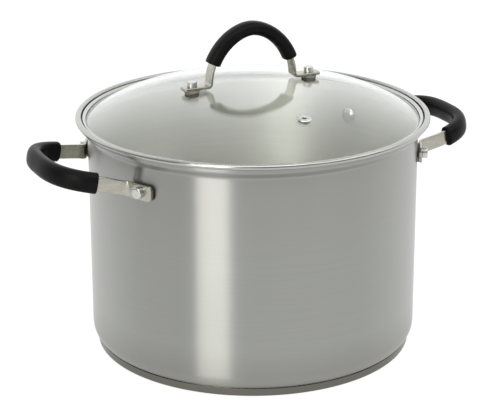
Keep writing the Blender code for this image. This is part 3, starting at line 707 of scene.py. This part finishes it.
def pot_finish(first, second):
    """Which finish a stretch of the outline has: 0 brushed outside, 1 inside, 2 polished."""
    radius = (first[0] + second[0]) / 2
    height = (first[1] + second[1]) / 2
    if height > LIP_TOP - 5.4 * MM:
        return 2
    if height > FLARE_START:
        return 0 if second[1] > first[1] else 1  # the outer skin is drawn upwards
    inside_wall = radius < BODY_RADIUS - 0.6 * WALL and height > CORNER_RISE + FLOOR_TOP
    on_floor = abs(height - FLOOR_TOP) < 0.3 * MM and first[0] != second[0]
    in_corner = height <= CORNER_RISE + FLOOR_TOP and is_inner_corner(radius, height)
    return 1 if inside_wall or on_floor or in_corner else 0


def is_inner_corner(radius, height):
    centre_radius = BODY_RADIUS - CORNER_RUN
    if radius < centre_radius:
        return height > FLOOR_UNDERSIDE + 0.5 * WALL
    run = (radius - centre_radius) / (CORNER_RUN - 0.5 * WALL)
    rise = (FLOOR_UNDERSIDE + CORNER_RISE - height) / (CORNER_RISE - 0.5 * WALL)
    return run**2 + max(0.0, rise) ** 2 < 1.0


def make_pot(finishes):
    steel = [finishes[name] for name in ("wall", "inside", "rim")]
    body = turned("pot_shell", pot_outline(), steel, WIDE_STEPS, finish_of=pot_finish)
    place_piece(body, "pot_body", "pot")
    inside = CAP_RADIUS - CAP_SHEET
    cap = [(0, 0), (CAP_RADIUS, 0, 2.3 * MM), (CAP_RADIUS, CAP_HEIGHT, 0.3 * MM)]
    cap += [(inside, CAP_HEIGHT, 0.3 * MM), (inside, CAP_SHEET, 1.6 * MM), (0, CAP_SHEET)]
    outline = braced(rounded(cap), 0.8 * MM)
    base = turned("base_shell", outline, [finishes["cap"]], WIDE_STEPS)
    place_piece(base, "base_cap", "pot")


# ---- side handles ----
def loop_point(angle):
    """The side loop's centre line for the handle at +X: (distance out, place)."""
    across, out = superellipse(angle, LOOP_POWER)
    out *= LOOP_DEPTH
    x = HANDLE_ROOT + out * math.cos(LOOP_TILT)
    z = HANDLE_HEIGHT + out * math.sin(LOOP_TILT)
    return out, Vector((x, -LOOP_HALF_WIDTH * across, z))


def loop_curve(from_out, to_middle=False):
    """Dense points of the loop beyond a distance out; to_middle stops at its far side."""
    points = []
    for step in range(CURVE_STEPS + 1):
        out, place = loop_point(math.pi * step / CURVE_STEPS)
        if out > from_out and (not to_middle or step <= CURVE_STEPS // 2):
            points.append(place)
    return points


def leg_out(place):
    """Distance out from the root along the tilted loop."""
    return (place.x - HANDLE_ROOT) / math.cos(LOOP_TILT)


def lifted(place, side):
    """One place on a loop, raised by its leg's own lift: the handles aren't quite level."""
    ease = min(1.0, max(0.0, (leg_out(place) - 7 * MM) / (18 * MM)))
    share = min(1.0, max(0.0, 0.5 + 0.5 * place.y / LOOP_HALF_WIDTH))
    first, second = LEG_LIFTS[side]
    return place + Vector((0, 0, ease * (first + (second - first) * share)))


def across_y(place):
    return Vector((place.x, -place.y, place.z))


def cubic(start, start_pull, end_pull, end, steps):
    points = []
    for step in range(1, steps):
        t = step / steps
        place = start * (1 - t) ** 3 + start_pull * 3 * t * (1 - t) ** 2
        points.append(place + end_pull * 3 * t * t * (1 - t) + end * t**3)
    return points


def foot_stations(steps, crowding, corner, radius, half_width, overhang=0.0):
    """From a foot's rounded tip to its bend: list of (angle round the wall, half width)."""
    length = (FOOT_END_ANGLE - FOOT_BEND_ANGLE) * radius
    stations = []
    for step in range(steps + 1):
        share = (step / steps) ** crowding
        angle = FOOT_END_ANGLE + overhang + (FOOT_BEND_ANGLE - FOOT_END_ANGLE) * share
        stations.append((angle, half_width - cut_in(corner, share * length)))
    return stations


def strap_half():
    """Foot tip to the loop's far side: list of (place, upright-to-tilted share, half width)."""
    stations = []
    foot = foot_stations(26, 1.6, 4.8 * MM, STRAP_MIDDLE_RADIUS, FOOT_WIDTH / 2)
    for angle, half_width in foot:
        place = on_circle(-angle, STRAP_MIDDLE_RADIUS, HANDLE_HEIGHT)
        stations.append((place, 0.0, half_width))
    leg = resample(loop_curve(7.5 * MM, True), 60)
    last_foot = stations[-1][0]
    wall_pull = last_foot + (last_foot - stations[-2][0]).normalized() * 3.6 * MM
    leg_pull = leg[0] - (leg[1] - leg[0]).normalized() * 4.2 * MM
    for index, place in enumerate(cubic(last_foot, wall_pull, leg_pull, leg[0], 14)):
        ease = eased((index + 1) / 14)
        stations.append((place, ease, (FOOT_WIDTH * (1 - ease) + STRAP_WIDTH * ease) / 2))
    return stations + [(place, 1.0, STRAP_WIDTH / 2) for place in leg]


def loop_hint(share):
    tilted = Vector((-math.sin(LOOP_TILT), 0, math.cos(LOOP_TILT)))
    return UP.lerp(tilted, share)


def make_side_handle(side, finishes):
    left = side == "left"

    def place(piece, node, slot):
        """Both handles are built at +X; the left one then turns half round."""
        if left:
            piece.data.transform(Matrix.Rotation(math.pi, 4, "Z"))
        place_piece(piece, f"{side}_{node}", "pot")

    half = strap_half()
    stations = half + [(across_y(at), share, width) for at, share, width in half[-2::-1]]
    places, shares, widths = zip(*stations)
    path = [lifted(at, side) for at in places]
    hints = [loop_hint(share) for share in shares]
    bar = strap(f"{side}_loop", path, hints, widths, finishes["strap"])
    place(bar, "handle_strap", "strap_steel")

    front_start = SIDE_GRIP_START if left else RIGHT_FRONT_GRIP_START
    curve = loop_curve(SIDE_GRIP_START)
    curve = [point for point in curve if point.y > 0 or leg_out(point) > front_start]
    path = [lifted(point, side) for point in tightened_ends(resample(curve, 130))]
    sizes = (*SIDE_GRIP, STRAP_WIDTH / 2)
    grip = sleeve(f"{side}_sleeve", path, loop_hint(1.0), *sizes, finishes["silicone"])
    place(grip, "handle_grip", "black_silicone")

    fore_and_aft = ("rear", "front") if left else ("front", "rear")
    for end, sign_y in zip(fore_and_aft, (-1, 1)):
        pad = make_pad(f"{side}_{end}_pad", sign_y, finishes["pad"])
        place(pad, f"{end}_handle_pad", "dark_pad")


def make_pad(name, sign_y, material):
    path = []
    outlines = []
    half_width = FOOT_WIDTH / 2 - 1.1 * MM
    for angle, width in foot_stations(18, 1.5, 3.0 * MM, PAD_MIDDLE_RADIUS, half_width, 0.0015):
        path.append(on_circle(sign_y * angle, PAD_MIDDLE_RADIUS, HANDLE_HEIGHT))
        outlines.append(rounded_bar(PAD_THICKNESS / 2, width, 0.4 * MM, 3))
    return swept(name, section_frames(path, [UP] * len(path)), outlines, material)


def make_rivets(finishes):
    head_base = STRAP_MIDDLE_RADIUS + STRAP_THICKNESS / 2 + SEAM
    dome_base = BODY_RADIUS - WALL - 0.5 * MM
    head = ((0, 5.2), (4.1, 5.2, 1.0), (5.1, 4.95, 0.8), (5.7, 4.2, 0.5), (5.7, 0, 0.2), (2.5, 0))
    dome = ((2.5, 0), (8.5, 0, 0.5), (7.6, -1.6, 2.0), (4.6, -2.9, 3.0), (0, -3.4))
    corners = in_mm(head_base, *head) + in_mm(dome_base, *dome)
    angles = (-RIVET_ANGLE, RIVET_ANGLE, math.pi - RIVET_ANGLE, math.pi + RIVET_ANGLE)
    for name, angle in zip(("right_front", "right_rear", "left_rear", "left_front"), angles):
        at = (UP * HANDLE_HEIGHT, on_circle(angle, 1.0))
        place_turned(f"{name}_stud", corners, finishes["rivet"], at, f"{name}_rivet", "pot")


# ---- lid ----
def dome_height(radius):
    return GLASS_EDGE_HEIGHT + DOME_RISE * (1 - (radius / GLASS_RADIUS) ** 3)


def on_dome(place):
    """(place, outward direction) on top of the glass, at a place seen from above."""
    radius = place.length
    slope = 3 * DOME_RISE * radius**2 / GLASS_RADIUS**3
    outward = Vector((place.x / radius * slope, place.y / radius * slope, 1)).normalized()
    return Vector((place.x, place.y, dome_height(radius))), outward


def on_lid(place):
    """From the lid handle's own frame, where it runs along X, to its place on the lid."""
    return Matrix.Rotation(LID_HANDLE_TURN, 3, "Z") @ place + LID_HANDLE_CENTRE


def make_glass(finishes):
    count = 44
    radii = [GLASS_RADIUS * math.sin(math.pi / 2 * step / count) for step in range(count + 1)]
    outer = [(radius, dome_height(radius)) for radius in radii]
    edge = [
        (GLASS_RADIUS, GLASS_EDGE_HEIGHT),
        (GLASS_EDGE_RADIUS, GLASS_EDGE_HEIGHT, 1.2 * MM),
        (GLASS_EDGE_RADIUS, GLASS_EDGE_HEIGHT - GLASS, 1.2 * MM),
        (GLASS_RADIUS - 1.0 * MM, GLASS_EDGE_HEIGHT - GLASS),
    ]
    inner = [(radius, dome_height(radius) - GLASS) for radius in radii[-2::-1]]
    glass = turned("glass_dome", outer + rounded(edge)[1:] + inner, [finishes["glass"]])
    height = dome_height(LID_SCREW_X)
    holes = [(on_lid(Vector((x, 0, height))), UP) for x in (-LID_SCREW_X, LID_SCREW_X)]
    punched(glass, holes + [on_dome(VENT_PLACE)], 3.7 * MM, 9 * MM)
    glass.data.shade_smooth()
    glass.data.set_sharp_from_angle(angle=math.radians(40))
    place_piece(glass, "lid_glass", "lid")


def make_band(finishes):
    top = GLASS_EDGE_HEIGHT + 0.1 * MM
    bottom = GLASS_EDGE_HEIGHT - GLASS - 0.1 * MM
    wall_inside = BAND_RADIUS - 0.9 * MM
    corners = [
        (GLASS_RADIUS + 0.1 * MM, top, 0.1 * MM),
        (GLASS_RADIUS + 0.1 * MM, top + 0.6 * MM, 0.3 * MM),
        (GLASS_RADIUS + 1.7 * MM, top + 2.1 * MM, 1.2 * MM),
        (BAND_RADIUS, top + 2.3 * MM, 1.0 * MM),
        (BAND_RADIUS, bottom - 0.9 * MM, 0.6 * MM),
        (GLASS_RADIUS - 0.7 * MM, bottom - 0.9 * MM, 0.3 * MM),
        (GLASS_RADIUS - 0.7 * MM, bottom, 0.2 * MM),
        (wall_inside, bottom, 0.2 * MM),
        (wall_inside, top, 0.2 * MM),
    ]
    outline = braced(rounded(corners, 4, True), 0.4 * MM, True)
    band = turned("rim_band", outline, [finishes["band"]], WIDE_STEPS, closed=True)
    place_piece(band, "lid_rim_band", "lid")


def arch_curve(left_bottom, right_bottom):
    """Dense points of the lid handle's arch above a height on each side."""
    points = []
    for step in range(CURVE_STEPS + 1):
        across, up = superellipse(math.pi * step / CURVE_STEPS, ARCH_POWER)
        height = ARCH_BASE + ARCH_RISE * up
        if height > (left_bottom if step < CURVE_STEPS / 2 else right_bottom):
            points.append(Vector((-ARCH_HALF_WIDTH * across, 0, height)))
    return points


def make_lid_handle(finishes):
    half_width = LID_STRAP_WIDTH / 2
    stations = []
    for step in range(25):
        from_tip = (step / 24) ** 1.8 * (LID_FOOT_END - LID_FOOT_START)
        place = Vector((from_tip - LID_FOOT_END, 0, LID_FOOT_MIDDLE))
        stations.append((place, half_width - cut_in(1.8 * MM, from_tip)))
    bend_top = ARCH_BASE + 0.7 * MM
    arch = resample(arch_curve(bend_top, bend_top), 121)
    start = stations[-1][0]
    rise = (arch[1] - arch[0]).normalized()
    pull = Vector((2.5 * MM, 0, 0))
    for place in cubic(start, start + pull, arch[0] - rise * 2.5 * MM, arch[0], 12):
        stations.append((place, half_width))
    stations += [(place, half_width) for place in arch[:61]]
    stations += [(Vector((-p.x, 0, p.z)), width) for p, width in stations[-2::-1]]
    across = on_lid(Vector((0, 1, 0))) - on_lid(Vector((0, 0, 0)))
    places, widths = zip(*stations)
    path = [on_lid(place) for place in places]
    bar = strap("lid_arch", path, [across] * len(path), widths, finishes["strap"])
    place_piece(bar, "lid_handle_strap", "lid")

    curve = resample(arch_curve(LID_GRIP_LEFT_BOTTOM, LID_GRIP_RIGHT_BOTTOM), 110)
    path = [on_lid(place) for place in tightened_ends(curve)]
    grip = sleeve("lid_sleeve", path, across, *LID_GRIP, half_width, finishes["silicone"])
    place_piece(grip, "lid_handle_grip", "lid")


def slanted_disc(name, centre, radius, top_of, bottom_of, material):
    """A ring whose faces follow heights given as functions of the distance from the axis."""
    bm = bmesh.new()
    rings = []
    inset = 0.35 * MM
    edge = [(2.2 * MM, 0.0), (radius - inset, 0.0)]
    edge += [(radius - 0.1 * MM, 0.12 * MM), (radius, inset)]
    sections = [(out, bottom_of, shift) for out, shift in edge]
    sections += [(out, top_of, -shift) for out, shift in edge[::-1]]
    for ring_radius, height_of, shift in sections:
        ring = []
        for step in range(SMALL_STEPS):
            angle = 2 * math.pi * step / SMALL_STEPS
            x = centre.x + ring_radius * math.cos(angle)
            y = centre.y + ring_radius * math.sin(angle)
            ring.append(bm.verts.new((x, y, height_of(math.hypot(x, y)) + shift)))
        rings.append(ring)
    return joined_round(name, bm, rings, material, 50)


def make_lid_fixings(side, x, finishes):
    centre = on_lid(Vector((x, 0, 0)))
    nut_top = LID_FOOT_TOP + SEAM + 5.2 * MM
    nut = in_mm(nut_top, (0, 0), (5.0, 0, 0.55), (5.0, -5.2, 0.2), (2.3, -5.2))
    nut += in_mm(nut_top, (2.3, -1.2), (0, -1.2))
    at = (centre, UP)
    place_turned(f"{side}_cap_nut", nut, finishes["nut"], at, f"lid_{side}_nut", "lid", 0.3 * MM)

    spacer_top = LID_FOOT_TOP - STRAP_THICKNESS - SEAM
    faces = (lambda radius: spacer_top, lambda radius: dome_height(radius) + 0.05 * MM)
    spacer = slanted_disc(f"{side}_seat", centre, 7.6 * MM, *faces, finishes["seat"])
    place_piece(spacer, f"lid_{side}_spacer", "lid")

    washer_bottom = dome_height(centre.length) - GLASS - 2.2 * MM
    faces = (lambda radius: dome_height(radius) - GLASS - 0.05 * MM, lambda radius: washer_bottom)
    washer = slanted_disc(f"{side}_under_washer", centre, 7.2 * MM, *faces, finishes["pad"])
    place_piece(washer, f"lid_{side}_washer", "lid")

    screw = in_mm(nut_top, (0, -2.0), (2.0, -2.0, 0.3))
    head = ((2.0, 0), (5.4, 0, 0.3), (4.9, -1.6, 1.4), (2.9, -2.6, 1.4), (0, -2.8))
    screw += in_mm(washer_bottom - SEAM, *head)
    node = f"lid_{side}_screw"
    place_turned(f"{side}_bolt", screw, finishes["rivet"], at, node, "lid", 0.3 * MM)


def make_vent(finishes):
    head = ((2.1, 0.6, 0.8), (3.0, 1.6, 0.9), (5.6, 1.7, 1.4), (7.25, 0.9, 0.5), (7.2, 0.1, 0.2))
    tail = ((3.5, 0.1), (3.5, -4.2), (5.7, -4.2, 0.2), (5.5, -5.2, 0.5), (2.1, -5.3, 0.4))
    corners = in_mm(0.0, *head, *tail)
    at = on_dome(VENT_PLACE)
    place_turned("vent_ring", corners, finishes["rivet"], at, "vent_eyelet", "lid", closed=True)


# ---- jar rack ----
def make_rod(name, start, end, radius, material):
    frames = following_frames(resample([start, end], 9), UP)
    return wire(name, frames, radius, material, 16)


def make_rack(finishes):
    chrome = finishes["wire"]

    def place(piece, node, body="rack"):
        place_piece(piece, f"rack_{node}", body)

    for name, radius in (("outer", RACK_RADIUS), ("inner", RACK_INNER_RADIUS)):
        round_section = superoval(RING_WIRE, RING_WIRE, 2.0, 16)
        section = [(radius + out, RACK_RING_HEIGHT + up) for out, up in round_section]
        hoop = turned(f"{name}_hoop", section, [chrome], HOOP_STEPS, closed=True)
        place(hoop, f"{name}_ring")
    for index in range(SLAT_COUNT):
        y = (index - (SLAT_COUNT - 1) / 2) * SLAT_PITCH
        half_length = math.sqrt((RACK_RADIUS + RING_WIRE) ** 2 - y * y) - 0.7 * MM
        start, end = (Vector((x, y, SLAT_HEIGHT)) for x in (-half_length, half_length))
        name = f"slat_{index + 1}"
        place(make_rod(name, start, end, SLAT_WIRE, chrome), name)
    for index in range(4):
        name = f"foot_{index + 1}"
        place(make_rack_foot(name, math.pi / 4 + index * math.pi / 2, chrome), name)
    for side, sign in (("left", -1), ("right", 1)):
        reach = PIVOT_HALF_LENGTH - 1 * MM
        start, end = (Vector((sign * PIVOT_X, y, PIVOT_HEIGHT)) for y in (-reach, reach))
        place(make_rod(f"{side}_pivot_rod", start, end, RING_WIRE, chrome), f"{side}_pivot")
        place(make_bail(f"{side}_lifter", sign, chrome), f"{side}_bail", f"{side}_bail")


def make_rack_foot(name, angle, material):
    """A wire U that hangs from the outer ring down to the pot's floor."""
    middle = on_circle(angle, RACK_RADIUS)
    along = Vector((-math.sin(angle), math.cos(angle), 0))
    top = RACK_RING_HEIGHT - RING_WIRE - GAP - SLAT_WIRE
    bottom = FLOOR_TOP + GAP + SLAT_WIRE
    path = []
    for step in range(33):
        swing = math.pi * step / 32
        height = top - (top - bottom) * math.sin(swing)
        path.append(middle + along * (-12 * MM * math.cos(swing)) + UP * height)
    frames = section_frames(path, [on_circle(angle, 1.0)] * len(path))
    return wire(name, frames, SLAT_WIRE, material)


def make_bail(name, sign, material):
    """A lifting handle: a hook round the pivot rod, a leg, the crossbar and the other side."""
    side_y = -BAIL_HALF_WIDTH
    half = []
    for step in range(25):
        turn = on_circle(math.radians(-165 + 255 * step / 24), HOOK_RADIUS)
        half.append(Vector((turn.x, side_y, turn.y)))
    end_height = BAIL_REST_HEIGHT - PIVOT_HEIGHT
    bend = 14 * MM
    leg_end = Vector((-BAIL_REACH + bend, side_y, end_height))
    corner = Vector((-BAIL_REACH, side_y, end_height))
    cross_start = Vector((-BAIL_REACH, side_y + bend, end_height))
    leg_start = Vector((-10 * MM, side_y, HOOK_RADIUS - 0.3 * MM))
    hook_end = half[-1]
    hook_pull = hook_end + Vector((-4 * MM, 0, 0))
    half += cubic(hook_end, hook_pull, leg_start + Vector((3 * MM, 0, 0)), leg_start, 6)
    half += [leg_start.lerp(leg_end, step / 8) for step in range(9)]
    pulls = (leg_end.lerp(corner, 0.6), cross_start.lerp(corner, 0.6))
    half += cubic(leg_end, *pulls, cross_start, 12)
    half.append(cross_start)
    path = half + [across_y(place) for place in half[::-1]]
    bail = wire(name, following_frames(path, Vector((0, 1, 0))), BAIL_WIRE, material)
    turn_about = Matrix.Rotation(math.pi, 4, "Z") if sign < 0 else Matrix.Identity(4)
    bail.data.transform(Matrix.Translation((sign * PIVOT_X, 0, PIVOT_HEIGHT)) @ turn_about)
    return bail


# ---- studio ----
def make_floor():
    bm = bmesh.new()
    bmesh.ops.create_circle(bm, cap_ends=True, segments=96, radius=9.0)
    glow = {"Emission_Color": (1, 1, 1, 1), "Emission_Strength": FLOOR_GLOW}
    shader = Shader("studio_floor", (FLOOR_TONE,) * 3, 0.9, Specular_IOR_Level=0.0, **glow)
    floor = finish_mesh("studio_floor", bm, [shader.material])
    floor.location.z = -0.0002


def area_light(name, place, target, size, power, colour=(1, 1, 1)):
    data = bpy.data.lights.new(name, "AREA")
    data.shape = "RECTANGLE"
    data.size, data.size_y = size
    data.energy = power
    data.color = colour
    light = add_object(name, data)
    light.location = place
    light.rotation_euler = (Vector(target) - Vector(place)).to_track_quat("-Z", "Y").to_euler()
    light.visible_camera = False


def make_lights():
    area_light("top_softbox", TOP_PLACE, (0, 0, 0.1), TOP_SIZE, TOP_POWER)
    place = on_circle(math.radians(STRIP_HEADING), STRIP_DISTANCE, STRIP_HEIGHT)
    target = (0, 0, STRIP_HEIGHT)
    area_light("tall_strip", place, target, STRIP_SIZE, STRIP_POWER, STRIP_COLOUR)
    for side, heading, width, power in SIDE_SOFTBOXES:
        for index, scale in enumerate(SOFT_EDGE):
            distance = SIDE_DISTANCE + SOFT_EDGE_STEP * index
            place = on_circle(math.radians(heading), distance, SIDE_HEIGHT)
            size = (width * scale, SIDE_DEPTH * scale)
            share = scale**2 / sum(step**2 for step in SOFT_EDGE)
            area_light(f"{side}_softbox_{index + 1}", place, (0, 0, 0.2), size, power * share)


def make_world():
    """A pale studio: white behind the object, dimmer beside it and round the camera."""
    world = bpy.data.worlds.new("studio")
    world.use_nodes = True
    tree = world.node_tree
    background = tree.nodes["Background"]
    toward = turned_share(tree, TOWARD_BACKDROP, -1, 1)
    ramp = add_node(tree, "ShaderNodeValToRGB", {"Fac": toward})
    ramp.color_ramp.interpolation = "EASE"
    stops = ramp.color_ramp.elements
    while len(stops) < len(ROOM_STOPS):
        stops.new(0.5)
    for stop, (facing, share) in zip(stops, ROOM_STOPS):
        stop.position = 0.5 + 0.5 * facing
        stop.color = (share, share, share, 1)
    overhead = turned_share(tree, (0, 0, 1), 0.45, 0.85)
    ceiling = multiplied(tree, overhead, CEILING_SHARE - 1, 1)
    room = multiplied(tree, ramp.outputs["Color"], ceiling)
    tree.links.new(multiplied(tree, room, BACKDROP_LIGHT), background.inputs["Strength"])
    background.inputs["Color"].default_value = (0.985, 0.995, 1.0, 1)
    bpy.context.scene.world = world


def turned_share(tree, direction, start, end):
    """How far the looked-at direction has turned towards the given one, as 0..1."""
    looked_at = add_node(tree, "ShaderNodeTexCoord", {}).outputs["Generated"]
    inputs = {0: looked_at, 1: direction}
    dot = add_node(tree, "ShaderNodeVectorMath", inputs, operation="DOT_PRODUCT")
    inputs = {"From Min": start, "From Max": end, "Value": dot.outputs["Value"]}
    return add_node(tree, "ShaderNodeMapRange", inputs).outputs["Result"]


def multiplied(tree, first, second, plus=0):
    inputs = {0: first, 1: second, 2: plus}
    return add_node(tree, "ShaderNodeMath", inputs, operation="MULTIPLY_ADD").outputs[0]


def make_camera():
    data = bpy.data.cameras.new("camera")
    data.lens = 132.2
    data.sensor_width = 36
    data.clip_end = 50
    camera = add_object("camera", data)
    stand = Matrix.Translation(CAMERA_PLACE)
    for degrees, axis in CAMERA_TURNS:
        stand = stand @ Matrix.Rotation(math.radians(degrees), 4, axis)
    camera.matrix_world = stand
    bpy.context.scene.camera = camera


def main():
    finishes = {
        "wall": brushed_wall(),
        "inside": satin_inside(),
        "rim": polished("rim_polished", (0.42, 0.42, 0.40), 0.24),
        "cap": polished("cap_satin", (0.145, 0.143, 0.126), 0.3),
        "band": polished("band_polished", (0.50, 0.50, 0.48), 0.20),
        "rivet": polished("rivet_polished", (0.56, 0.56, 0.54), 0.28),
        "nut": polished("nut_polished", (0.58, 0.58, 0.56), 0.30),
        "strap": strap_steel(),
        "silicone": black_silicone(),
        "pad": dark_pad("pad_rubber", (0.018, 0.017, 0.015)),
        "seat": dark_pad("seat_rubber", (0.17, 0.165, 0.125)),
        "wire": bright_wire(),
        "glass": clear_glass(),
    }
    make_camera()
    make_pot(finishes)
    for side in ("right", "left"):
        make_side_handle(side, finishes)
    make_rivets(finishes)
    make_glass(finishes)
    make_band(finishes)
    make_lid_handle(finishes)
    for side, x in (("left", -LID_SCREW_X), ("right", LID_SCREW_X)):
        make_lid_fixings(side, x, finishes)
    make_vent(finishes)
    make_rack(finishes)
    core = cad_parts["base_core"]
    core.data.materials.clear()
    core.data.materials.append(core_aluminium())
    make_floor()
    make_world()
    make_lights()
    view = bpy.context.scene.view_settings
    view.view_transform = "Standard"
    view.look = "None"


main()
